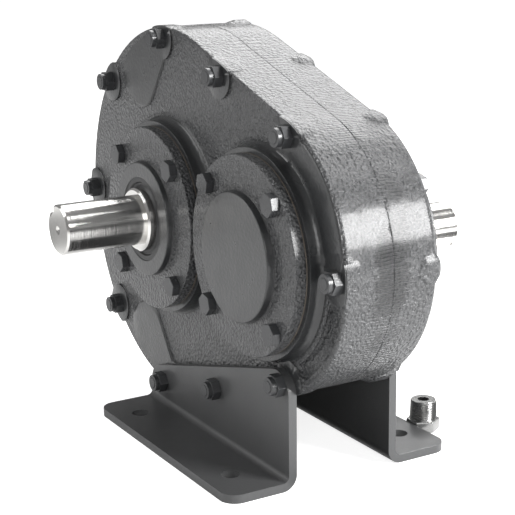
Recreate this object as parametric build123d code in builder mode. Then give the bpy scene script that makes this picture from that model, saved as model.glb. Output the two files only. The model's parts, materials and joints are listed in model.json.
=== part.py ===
from build123d import *
import os
from math import acos, asin, atan, cos, degrees, pi, radians, sin, tan

os.makedirs("parts", exist_ok=True)

# Parallel shaft gear reducer, single stage, foot mounted. Millimetres, +Z up.
# X runs along the feet, Y along the shafts with the output end towards -Y.
# The origin is the centre of the four foot holes, on the surface the feet rest on.

# Gear pair: the centre distance follows from the teeth
normal_module = 3.0
helix_angle = 12.0
pressure_angle = 20.0
pinion_teeth = 23
gear_teeth = 70
gear_face_width = 38.0
pinion_face_width = 40.0
tooth_backlash = 0.3
gear_rim = 12.0
gear_web = 14.0
gear_web_holes = 6
gear_web_hole_radius = 14.0
gear_hub_radius = 45.0

# Place of the output shaft, and the gap under the housing's large lobe
output_axis_x = -79.0
housing_clearance = 15.25

# Housing halves
output_lobe_radius = 143.5
input_lobe_radius = 98.5
half_depth = 36.75
pad_height = 1.75
wall = 8.0
rim_width = 17.0
draft_angle = 0.5
field_bevel = 1.2
front_edge_radius = 2.0
rear_edge_radius = 6.0
parting_bevel = 0.5
cap_ring_radius = 73.5
cap_ring_height = 10.85
cap_ring_foot = 7.0
inner_boss_radius = 56.0
inner_boss_height = 3.5

# Housing studs and foot bolts, clamped with lock nuts at the front, and their bosses
bolt_inset = 8.5
bolt_radius = 5.0
bolt_hole_radius = 5.5
stud_reach = 28.0
front_boss_radius = 16.0
rear_boss_radius = 12.5
rear_boss_bevel = 3.0
boss_height = 11.0
boss_runout = 9.0
bolt_head_across = 17.0
bolt_head_height = 6.4
nut_hex_height = 6.5
nut_collar_height = 3.5
nut_collar_radius = 7.6
bolt_end_proud = 0.4
output_bolt_angles = (92.0, 136.0, 180.0, 224.0, 268.0)
input_bolt_angles = (70.0, 0.0, -70.0)
flank_bolt_travel = 42.0
dowel_radius = 4.0
dowel_length = 24.0
output_dowel_angle = 158.0
input_dowel_angle = -36.0

# Port pads on the output side, and the raised and sunk fields on the input side
port_circle_radius = 108.0
port_angle = 112.5
port_pad_radius = 21.0
port_pad_neck = 12.0
port_radius = 10.5
socket_across = 9.5
socket_depth = 6.0
field_width = 22.0
raised_field_angles = (12.0, 58.0)
sunk_field_width = 13.0
sunk_field_angles = (-56.0, -16.0)
sunk_field_depth = 3.0

# Taper roller bearings, 50 x 90 x 21.75
bearing_bore = 50.0
bearing_outside = 90.0
bearing_width = 21.75
inner_ring_width = 20.0
outer_ring_width = 17.0
roller_count = 12
roller_length = 13.0
roller_large_radius = 5.3
roller_taper = 2.2
roller_tilt = 12.5
roller_pitch_radius = 35.0
roller_clearance = 0.06
rib_gap = 0.3
rib_height = 3.0
lip_height = 1.4
cage_thickness = 1.6
cage_offset = 2.5
cage_rim = 1.5
cage_gap = 0.15
bearing_inner_face = 22.0

# Bearing caps
cap_flange_radius = 69.8
cap_flange_thickness = 8.5
cap_gasket = 0.5
seal_hub_radius = 43.3
seal_hub_height = 5.2
blank_disc_radius = 44.9
blank_disc_height = 6.1
cap_draft = 0.8
cap_recess_radius = 39.0
cap_screw_circle = 61.5
cap_screw_radius = 4.76
cap_screw_across = 14.3
cap_screw_head = 6.0
cap_screw_reach = 16.5
screw_hole_beyond = 1.5
seal_outside_radius = 32.0
seal_width = 9.5
seal_inset = 0.6
seal_gap = 0.05
lip_relief = 2.5

# Shafts
seal_journal_radius = 24.2
journal_proud = 5.6
output_shaft_radius = 19.05
output_shaft_length = 62.8
input_shaft_radius = 17.46
input_shaft_length = 49.6
blind_end = 1.5
shaft_chamfer = 1.5
gear_seat_radius = 27.0
collar_radius = 32.0
pinion_shoulder_radius = 30.0
output_key_width = 9.53
output_key_depth = 4.8
output_keyway_angle = 132.0
input_key_width = 9.53
input_key_depth = 4.8
input_keyway_angle = -33.0
keyway_margin = 6.0
gear_key_width = 14.0
gear_key_height = 9.0
gear_key_seat = 5.5
gear_key_length = 30.0
gear_key_headroom = 0.3
centre_hole_radius = 3.4

# Feet, bent from quarter-inch plate
foot_plate = 6.35
foot_length = 210.0
foot_reach = 92.6
leg_low_cover = 13.2
leg_high_cover = 10.9
foot_corner_radius = 12.0
leg_corner_radius = 16.0
leg_low_corner_radius = 5.0
bend_radius = 4.8
foot_hole_radius = 6.75
foot_hole_spacing_x = 142.0
foot_hole_spacing_y = 144.0

# Breather plug, left standing beside the rear foot
breather_x = 59.5
breather_hex_across = 22.2
breather_hex_height = 8.0
breather_height = 24.0
breather_thread_radius = 10.3
breather_hole_radius = 4.3
breather_hole_depth = 16.0
breather_vent_radius = 1.2

# Values that follow from the ones above
transverse_module = normal_module / cos(radians(helix_angle))
transverse_pressure = atan(tan(radians(pressure_angle)) / cos(radians(helix_angle)))
pinion_pitch_radius = transverse_module * pinion_teeth / 2
gear_pitch_radius = transverse_module * gear_teeth / 2
centre_distance = pinion_pitch_radius + gear_pitch_radius
input_axis_x = output_axis_x + centre_distance
shaft_height = output_lobe_radius + housing_clearance
pad_face = half_depth + pad_height
ring_face = half_depth + cap_ring_height
flange_seat = ring_face + cap_gasket
flange_face = flange_seat + cap_flange_thickness
seal_hub_face = flange_face + seal_hub_height
blank_disc_face = flange_face + blank_disc_height
bearing_outer_face = bearing_inner_face + bearing_width
journal_end = seal_hub_face + journal_proud
flank_angle = degrees(acos((output_lobe_radius - input_lobe_radius) / centre_distance))
output_axis = Axis((output_axis_x, 0, shaft_height), (0, 1, 0))
input_axis = Axis((input_axis_x, 0, shaft_height), (0, 1, 0))


def polar(centre_x, radius, angle):
    """A point of the front view, by its radius and angle about a shaft."""
    return (
        centre_x + radius * cos(radians(angle)),
        shaft_height + radius * sin(radians(angle)),
    )


def flank_point(travel, inset, side):
    """A point beside the straight flank of the housing; side is 1 above, -1 below."""
    x, z = polar(output_axis_x, output_lobe_radius - inset, flank_angle)
    x += travel * sin(radians(flank_angle))
    z -= travel * cos(radians(flank_angle))
    return (x, shaft_height + side * (z - shaft_height))


output_bolts = [
    polar(output_axis_x, output_lobe_radius - bolt_inset, angle)
    for angle in output_bolt_angles
]
input_bolts = [
    polar(input_axis_x, input_lobe_radius - bolt_inset, angle)
    for angle in input_bolt_angles
]
flank_bolts = [flank_point(flank_bolt_travel, bolt_inset, side) for side in (1, -1)]
foot_bolt_places = [output_bolts[-1], flank_bolts[-1], input_bolts[-1]]
case_stud_places = output_bolts[:-1] + flank_bolts[:-1] + input_bolts[:-1]
dowel_places = [
    polar(output_axis_x, output_lobe_radius - bolt_inset, output_dowel_angle),
    polar(input_axis_x, input_lobe_radius - bolt_inset, input_dowel_angle),
]
port_places = [
    polar(output_axis_x, port_circle_radius, side * port_angle) for side in (1, -1)
]
shaft_places = [(output_axis_x, shaft_height), (input_axis_x, shaft_height)]


def front_plane(distance):
    """The plane at this distance in front of the parting face, seen from the front."""
    return Plane.XZ.offset(distance)


def turn(axis, profile, mode=Mode.ADD):
    """Revolve a closed profile of (radius, y) points about a shaft's axis."""
    centre_x = axis.position.X
    with BuildSketch(Plane.XY.offset(shaft_height)) as section:
        with BuildLine():
            Polyline([(centre_x + radius, y) for radius, y in profile], close=True)
        make_face()
    revolve(section.sketch, axis=axis, mode=mode)


def discs(places, radius, near, far, mode=Mode.ADD):
    """Round bars along Y at points of the front view, between two distances."""
    with BuildSketch(front_plane(near)) as section:
        with Locations(*places):
            Circle(radius)
    extrude(section.sketch, amount=far - near, mode=mode)


def cones(places, near_radius, far_radius, near, far):
    """Round cones along Y at points of the front view, between two distances."""
    middle = front_plane((near + far) / 2).location
    with Locations(*[middle * Pos(x, z, 0) for x, z in places]):
        Cone(near_radius, far_radius, far - near)


def hexagons(places, across, near, far):
    """Hexagonal prisms along Y at points of the front view."""
    with BuildSketch(front_plane(near)) as section:
        with Locations(*places):
            RegularPolygon(across / 2, 6, major_radius=False)
    extrude(section.sketch, amount=far - near)


def housing_outline(inset):
    """The housing's front outline: two round lobes and the flanks that join them."""
    with BuildSketch() as outline:
        with Locations(shaft_places[0]):
            Circle(output_lobe_radius - inset)
        with Locations(shaft_places[1]):
            Circle(input_lobe_radius - inset)
        make_hull()
    return outline.sketch


def port_pad(side, edge_radius):
    """The pad round one port, which reaches to the nearest bolt boss."""
    port = polar(output_axis_x, port_circle_radius, side * port_angle)
    bolt = output_bolts[0] if side == 1 else output_bolts[-1]
    low = polar(output_axis_x, port_circle_radius + 8, side * (port_angle + 4))
    with BuildSketch() as pad:
        with Locations(port, low):
            Circle(port_pad_radius)
        with Locations(bolt):
            Circle(port_pad_neck)
        make_hull()
        add(housing_outline(edge_radius), mode=Mode.INTERSECT)
    return pad.sketch


def curved_field(angles, width):
    """A curved slot in the front view, between the input cap ring and the outline."""
    middle = (cap_ring_radius + input_lobe_radius) / 2
    with BuildSketch() as field:
        with BuildLine() as centre_line:
            CenterArc(shaft_places[1], middle, angles[0], angles[1] - angles[0])
        SlotArc(centre_line.edge(), width)
    return field.sketch


def raised_field(field, near, far, mode=Mode.ADD):
    """A field of the front face, raised or sunk, with a bevel along its far edge."""
    with BuildPart(mode=Mode.PRIVATE) as block:
        with BuildSketch(front_plane(near)):
            add(field)
        extrude(amount=far - near)
        chamfer(block.faces().filter_by_position(Axis.Y, -far, -far).edges(), field_bevel)
    add(block.part, mode=mode)


def bosses(places, radius, top, bevel=0):
    """Round bosses on the housing's edge, which run out into its side wall."""
    root = top - boss_height
    discs(places, radius, root, top - bevel)
    if bevel > 0:
        cones(places, radius, radius - bevel, top - bevel, top)
    cones(places, bolt_inset - 1, radius, root - boss_runout, root)


def half_casting(front):
    """One half of the housing, drawn at the front. The rear one is plainer outside."""
    edge_radius = front_edge_radius if front else rear_edge_radius
    with BuildPart(mode=Mode.PRIVATE) as half:
        face_inset = half_depth * tan(radians(draft_angle))
        with BuildSketch(front_plane(parting_bevel)):
            add(housing_outline(0))
        with BuildSketch(front_plane(half_depth)):
            add(housing_outline(face_inset))
        loft(ruled=True)
        fillet(half.faces().sort_by(Axis.Y)[0].edges(), edge_radius)
        with BuildSketch(front_plane(0)):
            add(housing_outline(parting_bevel))
        with BuildSketch(front_plane(parting_bevel)):
            add(housing_outline(0))
        loft(ruled=True)
        cavity_floor = half_depth - wall
        with BuildSketch(front_plane(0)):
            add(housing_outline(rim_width))
        extrude(amount=cavity_floor, mode=Mode.SUBTRACT)
        inside_face = half_depth - pad_height
        for side in (1, -1):
            raised_field(port_pad(side, edge_radius), inside_face, pad_face)
        if front:
            upper_field = curved_field(raised_field_angles, field_width)
            raised_field(upper_field, inside_face, pad_face)
            lower_field = curved_field(sunk_field_angles, sunk_field_width)
            sunk_floor = half_depth - sunk_field_depth
            raised_field(lower_field, pad_face, sunk_floor, mode=Mode.SUBTRACT)
            bosses(case_stud_places, front_boss_radius, pad_face)
        else:
            bosses(case_stud_places, rear_boss_radius, half_depth, rear_boss_bevel)
        bosses(foot_bolt_places, front_boss_radius, pad_face)
        for axis in (output_axis, input_axis):
            foot = cap_ring_radius + cap_ring_foot
            with BuildSketch(Plane.XY.offset(shaft_height)):
                with BuildLine():
                    x = axis.position.X
                    l1 = Line((x, 0.5 - half_depth), (x + foot, 0.5 - half_depth))
                    l2 = Line(l1 @ 1, (x + foot, -half_depth))
                    arc_centre = (x + foot, -half_depth - cap_ring_foot)
                    l3 = CenterArc(arc_centre, cap_ring_foot, 90, 90)
                    l4 = Line(l3 @ 1, (x + cap_ring_radius, -ring_face))
                    l5 = Line(l4 @ 1, (x, -ring_face))
                    Line(l5 @ 1, l1 @ 0)
                make_face()
            revolve(axis=axis)
        boss_floor = cavity_floor - inner_boss_height
        discs(shaft_places, inner_boss_radius, boss_floor, cavity_floor)
        discs(shaft_places, bearing_outside / 2, 0, ring_face, mode=Mode.SUBTRACT)
        discs(foot_bolt_places, bolt_hole_radius, 0, pad_face, mode=Mode.SUBTRACT)
        if front:
            discs(case_stud_places, bolt_hole_radius, 0, pad_face, mode=Mode.SUBTRACT)
        else:
            discs(case_stud_places, bolt_radius, 0, stud_reach, mode=Mode.SUBTRACT)
        discs(dowel_places, dowel_radius, 0, dowel_length / 2, mode=Mode.SUBTRACT)
        screw_depth = flange_seat - cap_screw_reach - screw_hole_beyond
        for centre in shaft_places:
            with BuildSketch(front_plane(screw_depth)):
                with Locations(centre):
                    with PolarLocations(cap_screw_circle, 4, start_angle=45):
                        Circle(cap_screw_radius)
            extrude(amount=ring_face - screw_depth, mode=Mode.SUBTRACT)
    return half.part


front_casting = half_casting(True)
rear_casting = half_casting(False)

with BuildPart() as housing_front:
    add(front_casting)

with BuildPart() as housing_rear:
    mirror(rear_casting, about=Plane.XZ)
    with BuildSketch(front_plane(-pad_face)):
        with Locations(*port_places):
            Circle(port_radius)
    extrude(amount=pad_face, mode=Mode.SUBTRACT)

with BuildPart() as port_plugs:
    plug_depth = wall + pad_height
    with BuildSketch(front_plane(-pad_face)):
        with Locations(*port_places):
            Circle(port_radius)
    extrude(amount=plug_depth)
    with BuildSketch(front_plane(-pad_face)):
        with Locations(*port_places):
            RegularPolygon(socket_across / 2, 6, major_radius=False)
    extrude(amount=socket_depth, mode=Mode.SUBTRACT)

with BuildPart() as dowel_pins:
    discs(dowel_places, dowel_radius, -dowel_length / 2, dowel_length / 2)

leg_face = pad_face + foot_plate
nut_length = nut_hex_height + nut_collar_height


def lock_nuts(places, seat):
    """Hexagon nuts with a round insert collar."""
    hexagons(places, bolt_head_across, seat, seat + nut_hex_height)
    collar_end = seat + nut_length
    discs(places, nut_collar_radius, seat + nut_hex_height, collar_end)
    discs(places, bolt_radius, seat, collar_end, mode=Mode.SUBTRACT)


# Studs held in the rear half, and bolts with their heads on the rear foot
with BuildPart() as case_studs:
    stud_end = pad_face + nut_length + bolt_end_proud
    discs(case_stud_places, bolt_radius, -stud_reach, stud_end)

with BuildPart() as case_nuts:
    lock_nuts(case_stud_places, pad_face)

with BuildPart() as foot_bolts:
    bolt_end = leg_face + nut_length + bolt_end_proud
    discs(foot_bolt_places, bolt_radius, -leg_face, bolt_end)
    head_end = leg_face + bolt_head_height
    hexagons(foot_bolt_places, bolt_head_across, -head_end, -leg_face)

with BuildPart() as foot_nuts:
    lock_nuts(foot_bolt_places, leg_face)

# Feet: a bent angle, trimmed to its front outline and its plan. The leg's top edge
# passes over its lowest and its highest bolt.
with BuildPart() as front_foot:
    half_length = foot_length / 2
    low_bolt, high_bolt = foot_bolt_places[0], foot_bolt_places[-1]
    cover_rise = high_bolt[1] + leg_high_cover - low_bolt[1] - leg_low_cover
    leg_slope = cover_rise / (high_bolt[0] - low_bolt[0])
    leg_left = low_bolt[1] + leg_low_cover - leg_slope * (half_length + low_bolt[0])
    leg_right = high_bolt[1] + leg_high_cover + leg_slope * (half_length - high_bolt[0])
    with BuildSketch(Plane.YZ):
        with BuildLine():
            FilletPolyline(
                (-pad_face, leg_right),
                (-pad_face, 0),
                (-foot_reach, 0),
                radius=bend_radius + foot_plate,
            )
            FilletPolyline(
                (-leg_face, leg_right),
                (-leg_face, foot_plate),
                (-foot_reach, foot_plate),
                radius=bend_radius,
            )
            Line((-pad_face, leg_right), (-leg_face, leg_right))
            Line((-foot_reach, 0), (-foot_reach, foot_plate))
        make_face()
    extrude(amount=foot_length / 2, both=True)
    with BuildSketch(front_plane(0)):
        with BuildLine():
            FilletPolyline(
                (half_length, 0),
                (half_length, leg_right),
                (-half_length, leg_left),
                (-half_length, 0),
                radius=leg_corner_radius,
            )
            Line((-half_length, 0), (half_length, 0))
        make_face()
    extrude(amount=foot_reach, mode=Mode.INTERSECT)
    with BuildSketch(Plane.XY) as plan:
        with Locations((0, -(foot_reach + pad_face) / 2)):
            Rectangle(foot_length, foot_reach - pad_face)
        fillet(plan.vertices().group_by(Axis.Y)[0], foot_corner_radius)
    extrude(amount=leg_right, mode=Mode.INTERSECT)
    with BuildSketch(Plane.XY):
        with Locations((0, -foot_hole_spacing_y / 2)):
            with GridLocations(foot_hole_spacing_x, 1, 2, 1):
                Circle(foot_hole_radius)
    extrude(amount=foot_plate, mode=Mode.SUBTRACT)
    discs(foot_bolt_places, bolt_hole_radius, pad_face, leg_face, mode=Mode.SUBTRACT)

with BuildPart() as rear_foot:
    mirror(front_foot.part, about=Plane.XZ)


# Bearing caps. Profiles are drawn for the front; the rear ones are mirrored.
def cap_profile(hub_radius, hub_face):
    """Section of a cap's flange, raised hub and pilot, from the middle outwards."""
    return [
        (0, -bearing_outer_face),
        (bearing_outside / 2, -bearing_outer_face),
        (bearing_outside / 2, -flange_seat),
        (cap_flange_radius, -flange_seat),
        (cap_flange_radius, -flange_face),
        (hub_radius + cap_draft, -flange_face),
        (hub_radius, -hub_face),
        (0, -hub_face),
    ]


def cap_screw_holes(axis):
    """Four clearance holes through a cap's flange."""
    centre = (axis.position.X, shaft_height)
    with BuildSketch(front_plane(flange_seat)) as section:
        with Locations(centre):
            with PolarLocations(cap_screw_circle, 4, start_angle=45):
                Circle(cap_screw_radius)
    extrude(section.sketch, amount=cap_flange_thickness, mode=Mode.SUBTRACT)


def seal_cap(axis):
    """Cap with a pocket for the oil seal and a hole for the shaft."""
    turn(axis, cap_profile(seal_hub_radius, seal_hub_face))
    passage = seal_journal_radius + lip_relief
    pocket_floor = seal_hub_face - seal_width - seal_inset
    recess_floor = flange_seat
    turn(
        axis,
        [
            (0, -bearing_outer_face),
            (cap_recess_radius, -bearing_outer_face),
            (cap_recess_radius - 1, -recess_floor),
            (passage, -recess_floor),
            (passage, -pocket_floor),
            (seal_outside_radius, -pocket_floor),
            (seal_outside_radius, -seal_hub_face),
            (0, -seal_hub_face),
        ],
        mode=Mode.SUBTRACT,
    )
    cap_screw_holes(axis)


def blank_cap(axis):
    """Closed cap, hollowed to clear the end of the shaft."""
    turn(axis, cap_profile(blank_disc_radius, blank_disc_face))
    recess_floor = flange_face - seal_hub_height
    turn(
        axis,
        [
            (0, -bearing_outer_face),
            (cap_recess_radius, -bearing_outer_face),
            (cap_recess_radius - 2, -recess_floor),
            (0, -recess_floor),
        ],
        mode=Mode.SUBTRACT,
    )
    cap_screw_holes(axis)


def gasket(axis):
    """Thin gasket between a cap's flange and its ring."""
    turn(
        axis,
        [
            (bearing_outside / 2, -ring_face),
            (cap_flange_radius, -ring_face),
            (cap_flange_radius, -flange_seat),
            (bearing_outside / 2, -flange_seat),
        ],
    )
    centre = (axis.position.X, shaft_height)
    with BuildSketch(front_plane(ring_face)) as section:
        with Locations(centre):
            with PolarLocations(cap_screw_circle, 4, start_angle=45):
                Circle(cap_screw_radius)
    extrude(section.sketch, amount=cap_gasket, mode=Mode.SUBTRACT)


def cap_screws(axis):
    """Four hexagon head screws in a cap's flange."""
    centre = (axis.position.X, shaft_height)
    with BuildSketch(front_plane(flange_seat - cap_screw_reach)) as section:
        with Locations(centre):
            with PolarLocations(cap_screw_circle, 4, start_angle=45):
                Circle(cap_screw_radius)
    extrude(section.sketch, amount=cap_flange_thickness + cap_screw_reach)
    with BuildSketch(front_plane(flange_face)) as heads:
        with Locations(centre):
            with PolarLocations(cap_screw_circle, 4, start_angle=45):
                RegularPolygon(cap_screw_across / 2, 6, major_radius=False)
    extrude(heads.sketch, amount=cap_screw_head)


def oil_seal(axis):
    """Oil seal in its pocket: a stiff outer shell and a lip round the journal."""
    outer_end = seal_hub_face - seal_inset
    inner_end = outer_end - seal_width
    lip_radius = seal_journal_radius + seal_gap
    shell = seal_outside_radius - 3.5
    turn(
        axis,
        [
            (lip_radius, -inner_end - 2),
            (lip_radius + 2, -inner_end),
            (seal_outside_radius, -inner_end),
            (seal_outside_radius, -outer_end),
            (shell, -outer_end),
            (shell - 1, 1.5 - outer_end),
            (lip_radius + 2, 1.5 - outer_end),
            (lip_radius, -outer_end),
        ],
    )


# Gears: transverse tooth outlines, extruded along a helix
def tooth_outline(teeth, tooth_at_start):
    """Closed outline of a gear in its transverse plane, centred on the origin.

    A tooth points along +X when tooth_at_start is true, otherwise a gap does.
    """
    pitch_radius = transverse_module * teeth / 2
    base_radius = pitch_radius * cos(transverse_pressure)
    tip_radius = pitch_radius + normal_module
    root_radius = pitch_radius - 1.25 * normal_module
    start_radius = max(base_radius, root_radius) + 0.001
    half_thickness = pi / 2 / teeth - tooth_backlash / 4 / pitch_radius
    involute_offset = tan(transverse_pressure) - transverse_pressure
    phase = 0 if tooth_at_start else pi / teeth

    def flank(centre, side):
        points = []
        for share in (0, 0.5, 1):
            radius = start_radius + (tip_radius - start_radius) * share
            roll = acos(base_radius / radius)
            spread = half_thickness + involute_offset - (tan(roll) - roll)
            angle = centre + side * spread
            points.append((radius * cos(angle), radius * sin(angle)))
        return points

    with BuildSketch() as outline:
        with BuildLine():
            for number in range(teeth):
                centre = phase + 2 * pi * number / teeth
                following = centre + 2 * pi / teeth
                rising = flank(centre, -1)
                falling = flank(centre, 1)
                landing = flank(following, -1)[0]
                ThreePointArc(*rising)
                Line(rising[2], falling[2])
                ThreePointArc(*falling[::-1])
                foot_a = falling[0]
                foot_b = landing
                if start_radius > root_radius + 0.01:
                    shrink = root_radius / start_radius
                    foot_a = (falling[0][0] * shrink, falling[0][1] * shrink)
                    foot_b = (landing[0] * shrink, landing[1] * shrink)
                    Line(falling[0], foot_a)
                    Line(foot_b, landing)
                Line(foot_a, foot_b)
        make_face()
    return outline.sketch.faces()[0]


def helical_blank(teeth, face_width, hand, axis, tooth_at_start):
    """Toothed disc, symmetric about the parting plane, where its phase is exact."""
    pitch_radius = transverse_module * teeth / 2
    twist = hand * degrees(face_width * tan(radians(helix_angle)) / pitch_radius)
    disc = Solid.extrude_linear_with_rotation(
        tooth_outline(teeth, tooth_at_start), (0, 0, 0), (0, 0, face_width), twist
    )
    start = Plane(
        origin=(axis.position.X, face_width / 2, shaft_height),
        x_dir=(1, 0, 0),
        z_dir=(0, -1, 0),
    )
    return start.location * (Rot(0, 0, -twist / 2) * disc)


with BuildPart() as output_gear:
    add(helical_blank(gear_teeth, gear_face_width, 1, output_axis, True))
    rim_radius = gear_pitch_radius - 1.25 * normal_module - gear_rim
    with BuildSketch(front_plane(gear_face_width / 2)):
        with Locations(shaft_places[0]):
            Circle(rim_radius)
            Circle(gear_hub_radius, mode=Mode.SUBTRACT)
    recess_depth = (gear_face_width - gear_web) / 2
    extrude(amount=-recess_depth, taper=8, mode=Mode.SUBTRACT)
    with BuildSketch(front_plane(-gear_face_width / 2)):
        with Locations(shaft_places[0]):
            Circle(rim_radius)
            Circle(gear_hub_radius, mode=Mode.SUBTRACT)
    extrude(amount=recess_depth, taper=8, mode=Mode.SUBTRACT)
    with BuildSketch(front_plane(-gear_face_width / 2)):
        with Locations(shaft_places[0]):
            with PolarLocations((rim_radius + gear_hub_radius) / 2, gear_web_holes):
                Circle(gear_web_hole_radius)
    extrude(amount=gear_face_width, mode=Mode.SUBTRACT)
    half_face = gear_face_width / 2
    discs(shaft_places[:1], gear_seat_radius, -half_face, half_face, mode=Mode.SUBTRACT)
    key_top = gear_seat_radius - gear_key_seat + gear_key_height + gear_key_headroom
    with BuildSketch(front_plane(-half_face)):
        with Locations((output_axis_x, shaft_height + key_top / 2)):
            Rectangle(gear_key_width, key_top)
    extrude(amount=gear_face_width, mode=Mode.SUBTRACT)

with BuildPart() as gear_key:
    with BuildSketch(front_plane(-gear_key_length / 2)):
        key_middle = gear_seat_radius - gear_key_seat + gear_key_height / 2
        with Locations((output_axis_x, shaft_height + key_middle)):
            Rectangle(gear_key_width, gear_key_height)
    extrude(amount=gear_key_length)

with BuildPart() as gear_spacer:
    half_face = gear_face_width / 2
    turn(
        output_axis,
        [
            (gear_seat_radius, -half_face),
            (collar_radius, -half_face),
            (collar_radius, -bearing_inner_face),
            (gear_seat_radius, -bearing_inner_face),
        ],
    )


# Shafts
def keyway(axis, radius, width, depth, angle, near, far):
    """An open-ended keyway cut along a shaft, between two distances."""
    with BuildSketch(front_plane(near)) as section:
        with Locations((axis.position.X, shaft_height)):
            with Locations(Rot(0, 0, angle)):
                with Locations((radius, 0)):
                    Rectangle(2 * depth, width)
    extrude(section.sketch, amount=far - near, mode=Mode.SUBTRACT)


def centre_hole(axis, end):
    """A small drilled centre in the end of a shaft; end is its signed y."""
    inward = -1 if end > 0 else 1
    turn(
        axis,
        [
            (0, end),
            (centre_hole_radius, end),
            (centre_hole_radius / 2.5, end + inward * centre_hole_radius),
            (centre_hole_radius / 2.5, end + inward * centre_hole_radius * 2.2),
            (0, end + inward * centre_hole_radius * 2.6),
        ],
        mode=Mode.SUBTRACT,
    )


seat_radius = bearing_bore / 2
blind_face = bearing_outer_face + blind_end
output_end = journal_end + output_shaft_length
input_end = journal_end + input_shaft_length

with BuildPart() as output_shaft:
    half_face = gear_face_width / 2
    seat_end = bearing_inner_face + inner_ring_width
    turn(
        output_axis,
        [
            (0, blind_face),
            (seat_radius - shaft_chamfer, blind_face),
            (seat_radius, blind_face - shaft_chamfer),
            (seat_radius, bearing_inner_face),
            (collar_radius, bearing_inner_face),
            (collar_radius, half_face),
            (gear_seat_radius, half_face),
            (gear_seat_radius, 0.5 - bearing_inner_face),
            (seat_radius, 0.5 - bearing_inner_face),
            (seat_radius, -seat_end),
            (seal_journal_radius, -seat_end - 0.8),
            (seal_journal_radius, shaft_chamfer - journal_end),
            (seal_journal_radius - shaft_chamfer, -journal_end),
            (output_shaft_radius, -journal_end),
            (output_shaft_radius, shaft_chamfer - output_end),
            (output_shaft_radius - shaft_chamfer, -output_end),
            (0, -output_end),
        ],
    )
    keyway(
        output_axis,
        output_shaft_radius,
        output_key_width,
        output_key_depth,
        output_keyway_angle,
        journal_end + keyway_margin,
        output_end,
    )
    half_key = gear_key_length / 2
    keyway(
        output_axis,
        gear_seat_radius,
        gear_key_width,
        gear_key_seat,
        90,
        -half_key,
        half_key,
    )
    centre_hole(output_axis, -output_end)

with BuildPart() as pinion_shaft:
    half_face = pinion_face_width / 2
    seat_end = bearing_inner_face + inner_ring_width
    add(helical_blank(pinion_teeth, pinion_face_width, -1, input_axis, True))
    turn(
        input_axis,
        [
            (0, -blind_face),
            (seat_radius - shaft_chamfer, -blind_face),
            (seat_radius, shaft_chamfer - blind_face),
            (seat_radius, -bearing_inner_face),
            (pinion_shoulder_radius, -bearing_inner_face),
            (pinion_shoulder_radius, bearing_inner_face),
            (seat_radius, bearing_inner_face),
            (seat_radius, seat_end),
            (seal_journal_radius, seat_end + 0.8),
            (seal_journal_radius, journal_end - shaft_chamfer),
            (seal_journal_radius - shaft_chamfer, journal_end),
            (input_shaft_radius, journal_end),
            (input_shaft_radius, input_end - shaft_chamfer),
            (input_shaft_radius - shaft_chamfer, input_end),
            (0, input_end),
        ],
    )
    keyway(
        input_axis,
        input_shaft_radius,
        input_key_width,
        input_key_depth,
        input_keyway_angle,
        -input_end,
        -journal_end,
    )
    centre_hole(input_axis, input_end)

# Taper roller bearings. Distances are taken from the inner ring's back face outwards,
# stations along a roller's own axis from its middle.
lean = radians(roller_tilt)
roller_middle = inner_ring_width / 2 - 0.5


def roller_radius(station):
    """Radius of a roller at a station; its large end is at the negative one."""
    return roller_large_radius - tan(radians(roller_taper)) * (station + roller_length / 2)


def roller_side(station, reach):
    """Distance and radius of the point this far off a roller's axis, away from the shaft."""
    distance = roller_middle + station * cos(lean) + reach * sin(lean)
    radius = roller_pitch_radius - station * sin(lean) + reach * cos(lean)
    return distance, radius


def track(distance, side, clearance):
    """Radius of a ring's conical track; side is 1 outside the rollers and -1 inside."""
    half = roller_length / 2
    start = roller_side(-half, side * (roller_radius(-half) + clearance))
    end = roller_side(half, side * (roller_radius(half) + clearance))
    share = (distance - start[0]) / (end[0] - start[0])
    return start[1] + share * (end[1] - start[1])


def bearing_outer_ring(axis):
    """Outer ring with its conical track."""
    near = bearing_width - outer_ring_width
    turn(
        axis,
        [
            (track(near, 1, roller_clearance), -bearing_inner_face - near),
            (bearing_outside / 2, -bearing_inner_face - near),
            (bearing_outside / 2, -bearing_outer_face),
            (track(bearing_width, 1, roller_clearance), -bearing_outer_face),
        ],
    )


def bearing_inner_ring(axis):
    """Inner ring with its track between two ribs."""
    half = roller_length / 2
    rib, rib_foot = roller_side(-half - rib_gap, -roller_radius(-half))
    lip, lip_foot = roller_side(half + rib_gap, 0)
    turn(
        axis,
        [
            (bearing_bore / 2, -bearing_inner_face),
            (rib_foot + rib_height, -bearing_inner_face),
            (rib_foot + rib_height, -bearing_inner_face - rib),
            (track(rib, -1, roller_clearance), -bearing_inner_face - rib),
            (track(lip, -1, roller_clearance), -bearing_inner_face - lip),
            (track(lip, -1, 0) + lip_height, -bearing_inner_face - lip),
            (track(lip, -1, 0) + lip_height, -bearing_inner_face - inner_ring_width),
            (bearing_bore / 2, -bearing_inner_face - inner_ring_width),
        ],
    )


def roller_places(axis):
    """The place of each roller's middle, with +Z along the roller towards its small end."""
    middle = Plane(
        origin=(axis.position.X, -bearing_inner_face - roller_middle, shaft_height),
        x_dir=(1, 0, 0),
        z_dir=(0, -1, 0),
    )
    leaning = Location((roller_pitch_radius, 0, 0), (0, -roller_tilt, 0))
    for number in range(roller_count):
        yield middle.location * Rot(0, 0, 360 * number / roller_count) * leaning


def bearing_rollers(axis):
    """The ring of taper rollers."""
    half = roller_length / 2
    with Locations(*roller_places(axis)):
        Cone(roller_radius(-half), roller_radius(half), roller_length)


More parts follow.
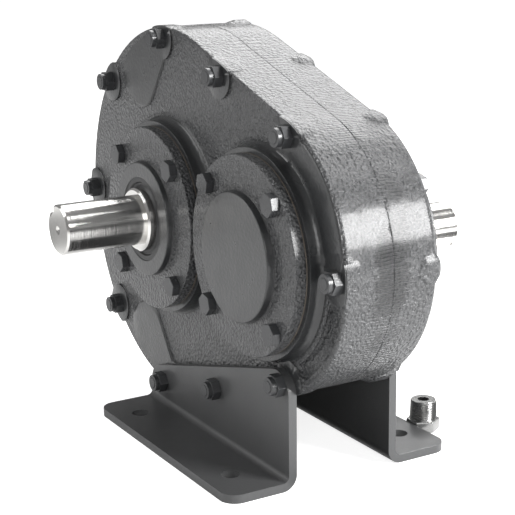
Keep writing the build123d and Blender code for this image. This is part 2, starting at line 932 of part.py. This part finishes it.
def bearing_cage(axis):
    """A pressed cage: a conical shell with a window for each roller."""
    half = cage_thickness / 2
    end = roller_length / 2 + cage_rim
    corners = [(-end, cage_offset), (end, cage_offset)]
    near, far = [roller_side(station, reach) for station, reach in corners]
    turn(
        axis,
        [
            (near[1] - half, -bearing_inner_face - near[0]),
            (near[1] + half, -bearing_inner_face - near[0]),
            (far[1] + half, -bearing_inner_face - far[0]),
            (far[1] - half, -bearing_inner_face - far[0]),
        ],
    )
    window_width = 2 * (roller_large_radius + cage_gap)
    window_length = roller_length + 2 * cage_gap
    with Locations(*roller_places(axis)):
        Box(4 * cage_offset, window_width, window_length, mode=Mode.SUBTRACT)


# Breather plug: it stands on its hexagon, against the edge of the rear foot
with BuildPart() as breather_plug:
    breather_y = foot_reach + breather_hex_across / 2
    with BuildSketch(Plane.XY):
        with Locations((breather_x, breather_y)):
            RegularPolygon(breather_hex_across / 2, 6, major_radius=False)
    extrude(amount=breather_hex_height)
    with BuildSketch(Plane.XY.offset(breather_hex_height)):
        with Locations((breather_x, breather_y)):
            Circle(breather_thread_radius + 0.5)
    thread_height = breather_height - breather_hex_height
    extrude(amount=thread_height, taper=1.79)
    with BuildSketch(Plane.XY.offset(breather_height)):
        with Locations((breather_x, breather_y)):
            Circle(breather_hole_radius)
    extrude(amount=-breather_hole_depth, mode=Mode.SUBTRACT)

pieces = {
    "housing_front": housing_front,
    "housing_rear": housing_rear,
    "port_plugs": port_plugs,
    "dowel_pins": dowel_pins,
    "case_studs": case_studs,
    "case_nuts": case_nuts,
    "foot_bolts": foot_bolts,
    "foot_nuts": foot_nuts,
    "front_foot": front_foot,
    "rear_foot": rear_foot,
    "output_shaft": output_shaft,
    "output_gear": output_gear,
    "gear_key": gear_key,
    "gear_spacer": gear_spacer,
    "pinion_shaft": pinion_shaft,
    "breather_plug": breather_plug,
}

# Pieces that come once for each bearing place, drawn at the front
places = {
    "front_output": (output_axis, seal_cap),
    "front_input": (input_axis, blank_cap),
    "rear_output": (output_axis, blank_cap),
    "rear_input": (input_axis, seal_cap),
}
repeated = {
    "gasket": gasket,
    "screws": cap_screws,
    "outer_ring": bearing_outer_ring,
    "inner_ring": bearing_inner_ring,
    "rollers": bearing_rollers,
    "cage": bearing_cage,
}
for place, (axis, make_cap) in places.items():
    makers = {"cap": make_cap, **repeated}
    if make_cap is seal_cap:
        makers["seal"] = oil_seal
    for kind, make in makers.items():
        with BuildPart() as piece:
            make(axis)
        if place.startswith("rear"):
            with BuildPart() as mirrored:
                mirror(piece.part, about=Plane.XZ)
            piece = mirrored
        pieces[f"{place}_{kind}"] = piece

for name, piece in pieces.items():
    piece.part.label = name
    export_step(piece.part, f"parts/{name}.step")
    print(name, len(piece.part.solids()))
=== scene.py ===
import bpy
import json
import math
from mathutils import Matrix, Vector


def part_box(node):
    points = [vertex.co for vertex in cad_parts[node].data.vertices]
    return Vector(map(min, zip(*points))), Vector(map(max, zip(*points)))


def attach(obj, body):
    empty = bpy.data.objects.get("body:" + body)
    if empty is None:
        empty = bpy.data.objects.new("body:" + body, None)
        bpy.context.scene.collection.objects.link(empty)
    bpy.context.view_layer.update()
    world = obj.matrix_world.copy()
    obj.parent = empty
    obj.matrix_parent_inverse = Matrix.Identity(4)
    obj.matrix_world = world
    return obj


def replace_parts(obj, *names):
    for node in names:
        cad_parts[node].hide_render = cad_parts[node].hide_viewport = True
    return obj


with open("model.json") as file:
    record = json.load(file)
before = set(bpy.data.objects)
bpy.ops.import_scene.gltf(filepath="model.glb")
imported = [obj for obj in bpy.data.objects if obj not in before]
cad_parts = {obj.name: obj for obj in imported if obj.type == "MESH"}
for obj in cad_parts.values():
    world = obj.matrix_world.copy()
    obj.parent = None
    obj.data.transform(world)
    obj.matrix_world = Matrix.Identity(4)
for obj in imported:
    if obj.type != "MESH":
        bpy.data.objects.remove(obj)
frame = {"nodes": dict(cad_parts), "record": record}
bpy.ops.object.select_all(action="DESELECT")
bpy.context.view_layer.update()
nodes = frame["nodes"]
bodies = frame["record"]["behaviour"]["bodies"]
print("frame loaded:", len(nodes), "nodes")


def bodyOf(nodeName):
    return next(body for body, names in bodies.items() if nodeName in names)


def onlySelect(obj):
    bpy.ops.object.select_all(action="DESELECT")
    obj.select_set(True)
    bpy.context.view_layer.objects.active = obj


def wear(obj, look):
    obj.data.materials.clear()
    obj.data.materials.append(look)


# places that the finishes and the housing share, read from the frame
outputLow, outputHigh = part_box("output_shaft")
inputLow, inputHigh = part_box("pinion_shaft")
outputX = (outputLow.x + outputHigh.x) / 2
inputX = (inputLow.x + inputHigh.x) / 2
shaftZ = (outputLow.z + outputHigh.z) / 2

# radius of the housing's two lobes, and the thickness of a cap's flange
lobeRadius = {"output": 0.1435, "input": 0.0985}
capFlange = 0.0085
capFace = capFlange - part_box("front_output_gasket")[0].y

# span that nearly all values of a noise texture fall in
noiseSpan = (0.3, 0.7)
coatRoughness = 0.2
roundingSamples = 4


def startLook(name, colour, roughness, metallic=0.0, coat=0.0):
    look = bpy.data.materials.new(name)
    look.use_nodes = True
    tree = look.node_tree
    shader = tree.nodes["Principled BSDF"]
    shader.inputs["Base Color"].default_value = (*colour, 1)
    shader.inputs["Roughness"].default_value = roughness
    shader.inputs["Metallic"].default_value = metallic
    shader.inputs["Coat Weight"].default_value = coat
    shader.inputs["Coat Roughness"].default_value = coatRoughness
    place = tree.nodes.new("ShaderNodeTexCoord")
    return look, tree, shader, place.outputs["Object"]


def mathNode(tree, operation, first, second=None):
    node = tree.nodes.new("ShaderNodeMath")
    node.operation = operation
    for socket, value in zip(node.inputs, (first, second)):
        if value is None:
            continue
        if isinstance(value, (int, float)):
            socket.default_value = value
        else:
            tree.links.new(value, socket)
    return node.outputs[0]


def rampBetween(tree, value, start, end, low, high):
    node = tree.nodes.new("ShaderNodeMapRange")
    tree.links.new(value, node.inputs["Value"])
    sockets = ("From Min", "From Max", "To Min", "To Max")
    for socket, number in zip(sockets, (start, end, low, high)):
        node.inputs[socket].default_value = number
    return node.outputs[0]


def colourBetween(tree, value, first, second):
    node = tree.nodes.new("ShaderNodeMix")
    node.data_type = "RGBA"
    tree.links.new(value, node.inputs[0])
    node.inputs[6].default_value = (*first, 1)
    node.inputs[7].default_value = (*second, 1)
    return node.outputs[2]


def noiseNode(tree, place, scale, detail=2.0, stretch=None):
    node = tree.nodes.new("ShaderNodeTexNoise")
    node.inputs["Scale"].default_value = scale
    node.inputs["Detail"].default_value = detail
    if stretch:
        mapping = tree.nodes.new("ShaderNodeMapping")
        mapping.inputs["Scale"].default_value = stretch
        tree.links.new(place, mapping.inputs["Vector"])
        place = mapping.outputs[0]
    tree.links.new(place, node.inputs["Vector"])
    return node.outputs["Fac"]


def cellNode(tree, place, scale, smoothness):
    node = tree.nodes.new("ShaderNodeTexVoronoi")
    node.feature = "SMOOTH_F1"
    node.inputs["Scale"].default_value = scale
    node.inputs["Smoothness"].default_value = smoothness
    tree.links.new(place, node.inputs["Vector"])
    return node.outputs["Distance"]


def axisParts(tree, place):
    node = tree.nodes.new("ShaderNodeSeparateXYZ")
    tree.links.new(place, node.inputs[0])
    return node.outputs


def addBump(tree, shader, height, distance, edge=0.0):
    node = tree.nodes.new("ShaderNodeBump")
    node.inputs["Distance"].default_value = distance
    tree.links.new(height, node.inputs["Height"])
    tree.links.new(node.outputs[0], shader.inputs["Normal"])
    if edge > 0:
        rounding = tree.nodes.new("ShaderNodeBevel")
        rounding.samples = roundingSamples
        rounding.inputs["Radius"].default_value = edge
        tree.links.new(rounding.outputs[0], node.inputs["Normal"])


def varyGloss(tree, shader, tone, roughness, spread):
    smoother, rougher = spread
    gloss = rampBetween(tree, tone, *noiseSpan, roughness - smoother, roughness + rougher)
    tree.links.new(gloss, shader.inputs["Roughness"])


castSkin = {
    "colour": (0.055, 0.056, 0.058),
    "smoothColour": (0.020, 0.021, 0.022),
    "roughness": 0.31,
    "roughnessSpread": (0.05, 0.07),
    "toneScale": 60.0,
    "toneDetail": 4.0,
    "coat": 0.35,
    "grain": 560.0,
    "grainDetail": 3.0,
    "cells": 400.0,
    "cellSmoothness": 0.6,
    "height": 0.0022,
    "machinedShare": 0.06,
    "edge": 0.0009,
}
# marks of the grinding wheel along the parting line, which come and go
grinding = {
    "reach": 0.016,
    "fade": 1.6,
    "pitch": 0.0023,
    "driftScale": 45.0,
    "driftTurns": 9.0,
    "raggedScale": 260.0,
    "raggedDetail": 1.0,
    "patchScale": 34.0,
    "patchFrom": 0.40,
    "patchTo": 0.68,
    "strength": 0.7,
}


def grindMarks(tree, place, parts, depth, values):
    across = mathNode(tree, "SUBTRACT", parts["X"], inputX)
    up = mathNode(tree, "SUBTRACT", parts["Z"], shaftZ)
    angle = mathNode(tree, "ARCTAN2", up, across)
    turns = mathNode(tree, "MULTIPLY", angle, 2 * math.pi * lobeRadius["input"] / values["pitch"])
    drift = noiseNode(tree, place, values["driftScale"])
    drift = mathNode(tree, "MULTIPLY", drift, values["driftTurns"])
    turns = mathNode(tree, "ADD", turns, drift)
    lines = mathNode(tree, "SINE", turns)
    ragged = noiseNode(tree, place, values["raggedScale"], values["raggedDetail"])
    ragged = mathNode(tree, "MULTIPLY", ragged, values["reach"])
    reach = mathNode(tree, "ADD", depth, ragged)
    band = rampBetween(tree, reach, values["reach"], values["reach"] * values["fade"], 1.0, 0.0)
    patch = noiseNode(tree, place, values["patchScale"])
    patch = rampBetween(tree, patch, values["patchFrom"], values["patchTo"], 0.0, values["strength"])
    marks = mathNode(tree, "MULTIPLY", lines, band)
    return mathNode(tree, "MULTIPLY", marks, patch)


# sand-cast paint, smooth from a distance off the parting plane onwards
def makeCastLook(name, values, smoothFrom, smoothTo, ground=None):
    look, tree, shader, place = startLook(
        name, values["colour"], values["roughness"], 0.0, values["coat"]
    )
    parts = axisParts(tree, place)
    depth = mathNode(tree, "ABSOLUTE", parts["Y"])
    rough = rampBetween(tree, depth, smoothFrom, smoothTo, 1.0, values["machinedShare"])
    colour = colourBetween(tree, rough, values["smoothColour"], values["colour"])
    tree.links.new(colour, shader.inputs["Base Color"])
    grain = noiseNode(tree, place, values["grain"], values["grainDetail"])
    cells = cellNode(tree, place, values["cells"], values["cellSmoothness"])
    skin = mathNode(tree, "ADD", grain, cells)
    skin = mathNode(tree, "MULTIPLY", skin, rough)
    if ground:
        marks = grindMarks(tree, place, parts, depth, ground)
        skin = mathNode(tree, "ADD", skin, marks)
    addBump(tree, shader, skin, values["height"], values["edge"])
    tone = noiseNode(tree, place, values["toneScale"], values["toneDetail"])
    varyGloss(tree, shader, tone, values["roughness"], values["roughnessSpread"])
    return look


paintFilm = {
    "grain": 900.0,
    "height": 0.00008,
    "toneScale": 35.0,
    "toneDetail": 3.0,
    "roughnessSpread": (0.06, 0.06),
}


def makePlateLook(name, colour, roughness):
    look, tree, shader, place = startLook(name, colour, roughness)
    fine = noiseNode(tree, place, paintFilm["grain"])
    addBump(tree, shader, fine, paintFilm["height"])
    tone = noiseNode(tree, place, paintFilm["toneScale"], paintFilm["toneDetail"])
    varyGloss(tree, shader, tone, roughness, paintFilm["roughnessSpread"])
    return look


# turning lines run round an axis along Y, so the noise changes fast along Y alone
turning = {
    "scale": 4.0,
    "detail": 2.0,
    "stretch": (5, 900, 5),
    "height": 0.00007,
    "roughnessSpread": (0.02, 0.03),
}


def makeTurnedLook(name, colour, roughness):
    look, tree, shader, place = startLook(name, colour, roughness, 1.0)
    lines = noiseNode(tree, place, turning["scale"], turning["detail"], turning["stretch"])
    varyGloss(tree, shader, lines, roughness, turning["roughnessSpread"])
    addBump(tree, shader, lines, turning["height"])
    return look


plainSkin = {"grain": 1200.0, "height": 0.00003}


def makePlainLook(name, colour, roughness, metallic=0.0):
    look, tree, shader, place = startLook(name, colour, roughness, metallic)
    fine = noiseNode(tree, place, plainSkin["grain"])
    addBump(tree, shader, fine, plainSkin["height"])
    return look


# the housing turns smooth on its pads, a cap on its machined face
padSmooth = (0.0372, 0.0380)
capSmooth = (capFace + 0.0003, capFace + 0.0012)
looks = {
    "housing_paint": makeCastLook("castHousing", castSkin, *padSmooth, grinding),
    "cap_paint": makeCastLook("castCap", castSkin, *capSmooth),
    "foot_paint": makePlateLook("paintedPlate", (0.060, 0.061, 0.062), 0.34),
    "fastener_paint": makePlateLook("paintedFastener", (0.036, 0.037, 0.039), 0.28),
    "plug_paint": makePlateLook("paintedPlug", (0.034, 0.035, 0.037), 0.35),
    "breather_steel": makePlainLook("platedPlug", (0.34, 0.34, 0.335), 0.24, 1.0),
    "shaft_steel": makeTurnedLook("groundShaft", (0.76, 0.75, 0.73), 0.13),
    "gear_steel": makeTurnedLook("cutGear", (0.5, 0.5, 0.5), 0.35),
    "bearing_steel": makeTurnedLook("bearingSteel", (0.62, 0.62, 0.62), 0.2),
    "cage_steel": makePlainLook("pressedCage", (0.45, 0.45, 0.44), 0.4, 1.0),
    "seal_rubber": makePlainLook("nitrileRubber", (0.018, 0.018, 0.019), 0.45),
    "gasket_fibre": makePlainLook("gasketFibre", (0.14, 0.12, 0.10), 0.8),
}
slotOf = {entry["node"]: entry["material_slot"] for entry in frame["record"]["subparts"]}
for nodeName, slotName in slotOf.items():
    wear(nodes[nodeName], looks[slotName])
print("finishes set on every node")


# distance below which points become one, and how much large faces outweigh small ones
mergeDistance = 0.000002
faceWeight = 90


def mergedCopy(nodeName, start):
    onlySelect(nodes[nodeName])
    bpy.ops.object.duplicate()
    copy = bpy.context.view_layer.objects.active
    copy.name = start + "_" + nodeName
    copy.parent = None
    copy.matrix_world = Matrix.Identity(4)
    onlySelect(copy)
    bpy.ops.object.mode_set(mode="EDIT")
    bpy.ops.mesh.select_all(action="SELECT")
    bpy.ops.mesh.remove_doubles(threshold=mergeDistance)
    bpy.ops.object.mode_set(mode="OBJECT")
    return copy


def finishCopy(piece, nodeName, smoothAngle):
    bpy.ops.object.shade_smooth_by_angle(angle=math.radians(smoothAngle))
    weighting = piece.modifiers.new("evenFaces", "WEIGHTED_NORMAL")
    weighting.keep_sharp = True
    weighting.weight = faceWeight
    bpy.ops.object.modifier_apply(modifier=weighting.name)
    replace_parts(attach(piece, bodyOf(nodeName)), nodeName)


# housing halves: a boss keeps only this share of what it stands out of the wall
housing = {
    "leftBossShare": 0.42,
    "flushBossShare": 0.16,
    "rearBossShare": 0.45,
    "leftBossEdge": -0.11,
    "onWall": 0.00001,
    "smoothAngle": 28,
}
shaftSpacing = inputX - outputX
flankLean = math.acos((lobeRadius["output"] - lobeRadius["input"]) / shaftSpacing)


# how far a point lies outside the two lobes and their flanks, and which way is out
def outsideOutline(x, z):
    side = 1 if z >= shaftZ else -1
    across = x - outputX
    up = abs(z - shaftZ)
    travel = across * math.sin(flankLean) - up * math.cos(flankLean)
    if travel <= 0:
        reach = math.hypot(across, up)
        return reach - lobeRadius["output"], across / reach, side * up / reach
    if travel >= shaftSpacing * math.sin(flankLean):
        across = x - inputX
        reach = math.hypot(across, up)
        return reach - lobeRadius["input"], across / reach, side * up / reach
    beyond = across * math.cos(flankLean) + up * math.sin(flankLean) - lobeRadius["output"]
    return beyond, math.cos(flankLean), side * math.sin(flankLean)


def tuckedHousing(nodeName):
    copy = mergedCopy(nodeName, "tucked")
    for vertex in copy.data.vertices:
        beyond, outX, outZ = outsideOutline(vertex.co.x, vertex.co.z)
        if beyond <= housing["onWall"]:
            continue
        share = housing["rearBossShare"]
        if vertex.co.y < 0:
            atLeft = vertex.co.x < housing["leftBossEdge"]
            share = housing["leftBossShare"] if atLeft else housing["flushBossShare"]
        vertex.co.x -= outX * beyond * (1 - share)
        vertex.co.z -= outZ * beyond * (1 - share)
    finishCopy(copy, nodeName, housing["smoothAngle"])


for nodeName in ("housing_front", "housing_rear"):
    tuckedHousing(nodeName)
print("housing halves made")


# pieces whose edges are softened, with the radius of each
edgeRadius = {
    "front_output_cap": 0.0007,
    "rear_input_cap": 0.0007,
    "front_input_cap": 0.0007,
    "rear_output_cap": 0.0007,
    "front_output_screws": 0.0005,
    "front_input_screws": 0.0005,
    "rear_output_screws": 0.0005,
    "rear_input_screws": 0.0005,
    "case_nuts": 0.0005,
    "foot_nuts": 0.0005,
    "case_studs": 0.0005,
    "foot_bolts": 0.0005,
    "front_foot": 0.0006,
    "rear_foot": 0.0006,
}
softening = {
    "flatAngle": 0.6,
    "cornerAngle": 32,
    "segments": 2,
    "smoothAngle": 34,
}

# the housing's fasteners are made slimmer about their own axes
fastener = {
    "nodes": ("case_nuts", "foot_nuts", "case_studs", "foot_bolts"),
    "share": 0.845,
    "outputCircle": 0.135,
    "inputCircle": 0.090,
    "outputAngles": (92, 136, 180, 224, 268),
    "inputAngles": (70, 0, -70),
    "flankTravel": 0.042,
}


def boltPlaces():
    places = []
    circles = (
        (outputX, fastener["outputCircle"], fastener["outputAngles"]),
        (inputX, fastener["inputCircle"], fastener["inputAngles"]),
    )
    for middle, radius, angles in circles:
        for angle in angles:
            turn = math.radians(angle)
            x = middle + radius * math.cos(turn)
            places.append((x, shaftZ + radius * math.sin(turn)))
    reach, travel = fastener["outputCircle"], fastener["flankTravel"]
    x = outputX + reach * math.cos(flankLean) + travel * math.sin(flankLean)
    rise = reach * math.sin(flankLean) - travel * math.cos(flankLean)
    return places + [(x, shaftZ + rise), (x, shaftZ - rise)]


def slimFasteners(piece):
    places = boltPlaces()
    for vertex in piece.data.vertices:
        x, z = min(places, key=lambda spot: math.hypot(vertex.co.x - spot[0], vertex.co.z - spot[1]))
        vertex.co.x = x + (vertex.co.x - x) * fastener["share"]
        vertex.co.z = z + (vertex.co.z - z) * fastener["share"]


def softenedCopy(nodeName, radius):
    copy = mergedCopy(nodeName, "soft")
    if nodeName in fastener["nodes"]:
        slimFasteners(copy)
    bpy.ops.object.mode_set(mode="EDIT")
    bpy.ops.mesh.select_all(action="SELECT")
    bpy.ops.mesh.dissolve_limited(angle_limit=math.radians(softening["flatAngle"]))
    bpy.ops.object.mode_set(mode="OBJECT")
    bevel = copy.modifiers.new("edge", "BEVEL")
    bevel.width = radius
    bevel.segments = softening["segments"]
    bevel.limit_method = "ANGLE"
    bevel.angle_limit = math.radians(softening["cornerAngle"])
    bpy.ops.object.modifier_apply(modifier=bevel.name)
    finishCopy(copy, nodeName, softening["smoothAngle"])


for nodeName, radius in edgeRadius.items():
    softenedCopy(nodeName, radius)
print("edges softened on", len(edgeRadius), "pieces")


# loose breather plug: a hexagon on the floor with a threaded, drilled stem on it
plugLow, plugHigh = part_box("breather_plug")
breather = {
    "middle": ((plugLow.x + plugHigh.x) / 2, (plugLow.y + plugHigh.y) / 2),
    "height": plugHigh.z - plugLow.z,
    "hexAcross": plugHigh.y - plugLow.y,
    "hexHeight": 0.0085,
    "hexEdge": 0.0006,
    "hexEdgeSegments": 3,
    "hexSmoothAngle": 30,
    "stemSides": 72,
    "stemSink": 0.0004,
    "stemSmoothAngle": 40,
    "threadRadius": 0.0105,
    "threadTurns": 8.5,
    "ringsPerTurn": 6,
    "pitch": 0.0018,
    "threadDepth": 0.0011,
    "taper": 0.045,
    "threadStart": 0.0015,
    "threadEnd": 0.0012,
    "endBevel": 0.0008,
    "endBevelLength": 0.0009,
    "holeRadius": 0.0043,
    "holeDepth": 0.016,
    "holeMargin": 1.2,
}


def makeHexagon(values):
    bpy.ops.object.select_all(action="DESELECT")
    bpy.ops.mesh.primitive_cylinder_add(
        vertices=6,
        radius=values["hexAcross"] / 2 / math.cos(math.radians(30)),
        depth=values["hexHeight"],
        location=(*values["middle"], values["hexHeight"] / 2),
        rotation=(0, 0, math.radians(30)),
    )
    hexagon = bpy.context.active_object
    bpy.ops.object.transform_apply(location=True, rotation=True, scale=True)
    bevel = hexagon.modifiers.new("edge", "BEVEL")
    bevel.width = values["hexEdge"]
    bevel.segments = values["hexEdgeSegments"]
    bpy.ops.object.modifier_apply(modifier=bevel.name)
    bpy.ops.object.shade_smooth_by_angle(angle=math.radians(values["hexSmoothAngle"]))
    return hexagon


def cutThread(stem, length, values):
    for vertex in stem.data.vertices:
        around = math.atan2(vertex.co.y, vertex.co.x) / (2 * math.pi)
        reach = math.hypot(vertex.co.x, vertex.co.y)
        if reach < values["holeRadius"] * values["holeMargin"]:
            continue
        turns = vertex.co.z / values["pitch"] - around
        wave = abs((turns % 1) - 0.5) * 2
        taper = 1 - vertex.co.z / length * values["taper"]
        toEnd = length - vertex.co.z
        fade = min(1, vertex.co.z / values["threadStart"], toEnd / values["threadEnd"])
        depth = values["threadDepth"] * wave * max(0, fade)
        endBevel = values["endBevel"] * max(0, 1 - toEnd / values["endBevelLength"])
        scale = ((values["threadRadius"] - depth) * taper - endBevel) / reach
        vertex.co.x *= scale
        vertex.co.y *= scale


def makeStem(values):
    bpy.ops.mesh.primitive_circle_add(
        vertices=values["stemSides"], radius=values["threadRadius"], location=(0, 0, 0)
    )
    stem = bpy.context.active_object
    length = values["height"] - values["hexHeight"]
    rings = int(values["threadTurns"] * values["ringsPerTurn"])
    rise = length / rings
    rim = values["holeRadius"] / values["threadRadius"]
    bpy.ops.object.mode_set(mode="EDIT")
    bpy.ops.mesh.select_all(action="SELECT")
    for ring in range(rings):
        bpy.ops.mesh.extrude_region_move(TRANSFORM_OT_translate={"value": (0, 0, rise)})
    bpy.ops.mesh.extrude_region_move()
    bpy.ops.transform.resize(value=(rim, rim, 1))
    bpy.ops.mesh.extrude_region_move(
        TRANSFORM_OT_translate={"value": (0, 0, -values["holeDepth"])}
    )
    bpy.ops.mesh.edge_face_add()
    bpy.ops.object.mode_set(mode="OBJECT")
    cutThread(stem, length, values)
    stem.location = (*values["middle"], values["hexHeight"] - values["stemSink"])
    onlySelect(stem)
    bpy.ops.object.transform_apply(location=True, rotation=True, scale=True)
    bpy.ops.object.mode_set(mode="EDIT")
    bpy.ops.mesh.select_all(action="SELECT")
    bpy.ops.mesh.normals_make_consistent(inside=False)
    bpy.ops.object.mode_set(mode="OBJECT")
    bpy.ops.object.shade_smooth_by_angle(angle=math.radians(values["stemSmoothAngle"]))


def makeBreather(values):
    hexagon = makeHexagon(values)
    makeStem(values)
    hexagon.select_set(True)
    bpy.context.view_layer.objects.active = hexagon
    bpy.ops.object.join()
    plug = bpy.context.active_object
    plug.name = "threaded_breather_plug"
    bpy.ops.object.select_all(action="DESELECT")
    wear(plug, looks["breather_steel"])
    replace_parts(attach(plug, bodyOf("breather_plug")), "breather_plug")


makeBreather(breather)
print("breather plug made")


# floor, surroundings and lights
stage = {
    "floorSize": 40.0,
    "floorHeight": -0.0002,
    "floorTone": 0.80,
    "floorRoughness": 0.9,
    "floorSpecular": 0.1,
    "floorBounce": 0.22,
    "floorGlow": 0.60,
    "backdrop": (1.0, 1.0, 1.0, 1.0),
    "backdropStrength": 1.0,
    "fillStrength": 0.28,
}

# painted shade on the floor, which only reflections and bounced light meet: painted shade under the
# housing, and painted dark patches to the right rear and off the output shaft's end that darken what
# the parts reflect
floorShadePatches = {
    "rightRear": {"middle": (0.33, 0.38), "half": (0.14, 0.14), "share": 0.04},
    "underHousing": {"middle": (0.0, 0.0), "half": (0.13, 0.036), "share": 0.08},
    "shaftEnd": {"middle": (-0.722, -0.389), "half": (0.09, 0.07), "share": 0.30},
}
shadePatchFade = 1.1


# painted shade of one floor patch: full tone outside it, its share inside
def paintedFloorShade(tree, parts, values):
    reaches = []
    for axis, middle, half in zip(("X", "Y"), values["middle"], values["half"]):
        offset = mathNode(tree, "SUBTRACT", parts[axis], middle)
        offset = mathNode(tree, "ABSOLUTE", offset)
        reaches.append(mathNode(tree, "DIVIDE", offset, half))
    reach = mathNode(tree, "MAXIMUM", *reaches)
    return rampBetween(tree, reach, 1.0, shadePatchFade, values["share"], 1.0)


def setFloorSurface(shader):
    tone = stage["floorTone"]
    shader.inputs["Base Color"].default_value = (tone, tone, tone, 1)
    shader.inputs["Roughness"].default_value = stage["floorRoughness"]
    shader.inputs["Specular IOR Level"].default_value = stage["floorSpecular"]
    shader.inputs["Emission Color"].default_value = stage["backdrop"]
    shader.inputs["Emission Strength"].default_value = stage["floorBounce"]


# the camera sees the second shader, everything else the first
def splitForCamera(tree, first, second, output):
    rays = tree.nodes.new("ShaderNodeLightPath")
    mix = tree.nodes.new("ShaderNodeMixShader")
    tree.links.new(rays.outputs["Is Camera Ray"], mix.inputs[0])
    tree.links.new(first.outputs[0], mix.inputs[1])
    tree.links.new(second.outputs[0], mix.inputs[2])
    tree.links.new(mix.outputs[0], tree.nodes[output].inputs[0])


def makeFloorLook():
    tone = stage["floorTone"]
    look, tree, shadedFloor, place = startLook("paleFloor", (tone, tone, tone), stage["floorRoughness"])
    parts = axisParts(tree, place)
    # the painted shade patches darken the floor's colour and its bounced glow for every ray but the
    # camera's
    shade = 1.0
    for values in floorShadePatches.values():
        shade = mathNode(tree, "MULTIPLY", shade, paintedFloorShade(tree, parts, values))
    plain = tree.nodes.new("ShaderNodeBsdfPrincipled")
    for shader in (shadedFloor, plain):
        setFloorSurface(shader)
    shadedFloorTone = mathNode(tree, "MULTIPLY", shade, tone)
    shadedFloorBounce = mathNode(tree, "MULTIPLY", shade, stage["floorBounce"])
    tree.links.new(shadedFloorTone, shadedFloor.inputs["Base Color"])
    tree.links.new(shadedFloorBounce, shadedFloor.inputs["Emission Strength"])
    glow = tree.nodes.new("ShaderNodeEmission")
    glow.inputs["Color"].default_value = stage["backdrop"]
    glow.inputs["Strength"].default_value = stage["floorGlow"]
    lit = tree.nodes.new("ShaderNodeAddShader")
    tree.links.new(plain.outputs[0], lit.inputs[0])
    tree.links.new(glow.outputs[0], lit.inputs[1])
    splitForCamera(tree, shadedFloor, lit, "Material Output")
    return look


bpy.ops.mesh.primitive_plane_add(size=stage["floorSize"], location=(0, 0, stage["floorHeight"]))
floor = bpy.context.active_object
floor.name = "StudioFloor"
wear(floor, makeFloorLook())

world = bpy.data.worlds.new("studio")
bpy.context.scene.world = world
world.use_nodes = True
sky = world.node_tree.nodes["Background"]
sky.inputs["Color"].default_value = stage["backdrop"]
sky.inputs["Strength"].default_value = stage["fillStrength"]
seen = world.node_tree.nodes.new("ShaderNodeBackground")
seen.inputs["Color"].default_value = stage["backdrop"]
seen.inputs["Strength"].default_value = stage["backdropStrength"]
splitForCamera(world.node_tree, sky, seen, "World Output")

softboxes = {
    "overhead": {"place": (-0.78, 0.85, 1.30), "size": 1.25, "power": 24.0},
    "rightBack": {"place": (1.15, 0.73, 0.62), "size": 0.55, "power": 42.0},
    "leftFront": {"place": (-0.9, -1.6, 0.9), "size": 1.2, "power": 17.0},
    "rightFront": {"place": (1.6, -0.75, 0.85), "size": 0.8, "power": 9.0},
    "overRight": {"place": (0.45, 0.52, 1.13), "size": 0.35, "power": 1.3},
}
softboxTarget = Vector((0, 0, 0.15))
for name, values in softboxes.items():
    bpy.ops.object.light_add(type="AREA", location=values["place"])
    lamp = bpy.context.active_object
    lamp.name = name
    lamp.data.shape = "SQUARE"
    lamp.data.size = values["size"]
    lamp.data.energy = values["power"]
    aim = softboxTarget - Vector(values["place"])
    lamp.rotation_euler = aim.to_track_quat("-Z", "Y").to_euler()

bpy.context.scene.view_settings.view_transform = "Standard"
print("floor and lights set")


# camera at the angle of the photograph
cameraFit = {
    "place": (0.84703, -0.50300, 0.38779),
    "towards": (-0.83580, 0.49030, -0.24707),
    "roll": math.radians(-0.742),
    "lens": 96.0,
    "sensor": 36.0,
}
ahead = Vector(cameraFit["towards"]).normalized()
right = ahead.cross(Vector((0, 0, 1))).normalized()
up = right.cross(ahead)
turnedRight = right * math.cos(cameraFit["roll"]) + up * math.sin(cameraFit["roll"])
turnedUp = up * math.cos(cameraFit["roll"]) - right * math.sin(cameraFit["roll"])
bpy.ops.object.camera_add(location=cameraFit["place"])
camera = bpy.context.active_object
camera.data.lens = cameraFit["lens"]
camera.data.sensor_width = cameraFit["sensor"]
camera.rotation_euler = Matrix((turnedRight, turnedUp, -ahead)).transposed().to_euler()
bpy.context.scene.camera = camera
print("camera set")
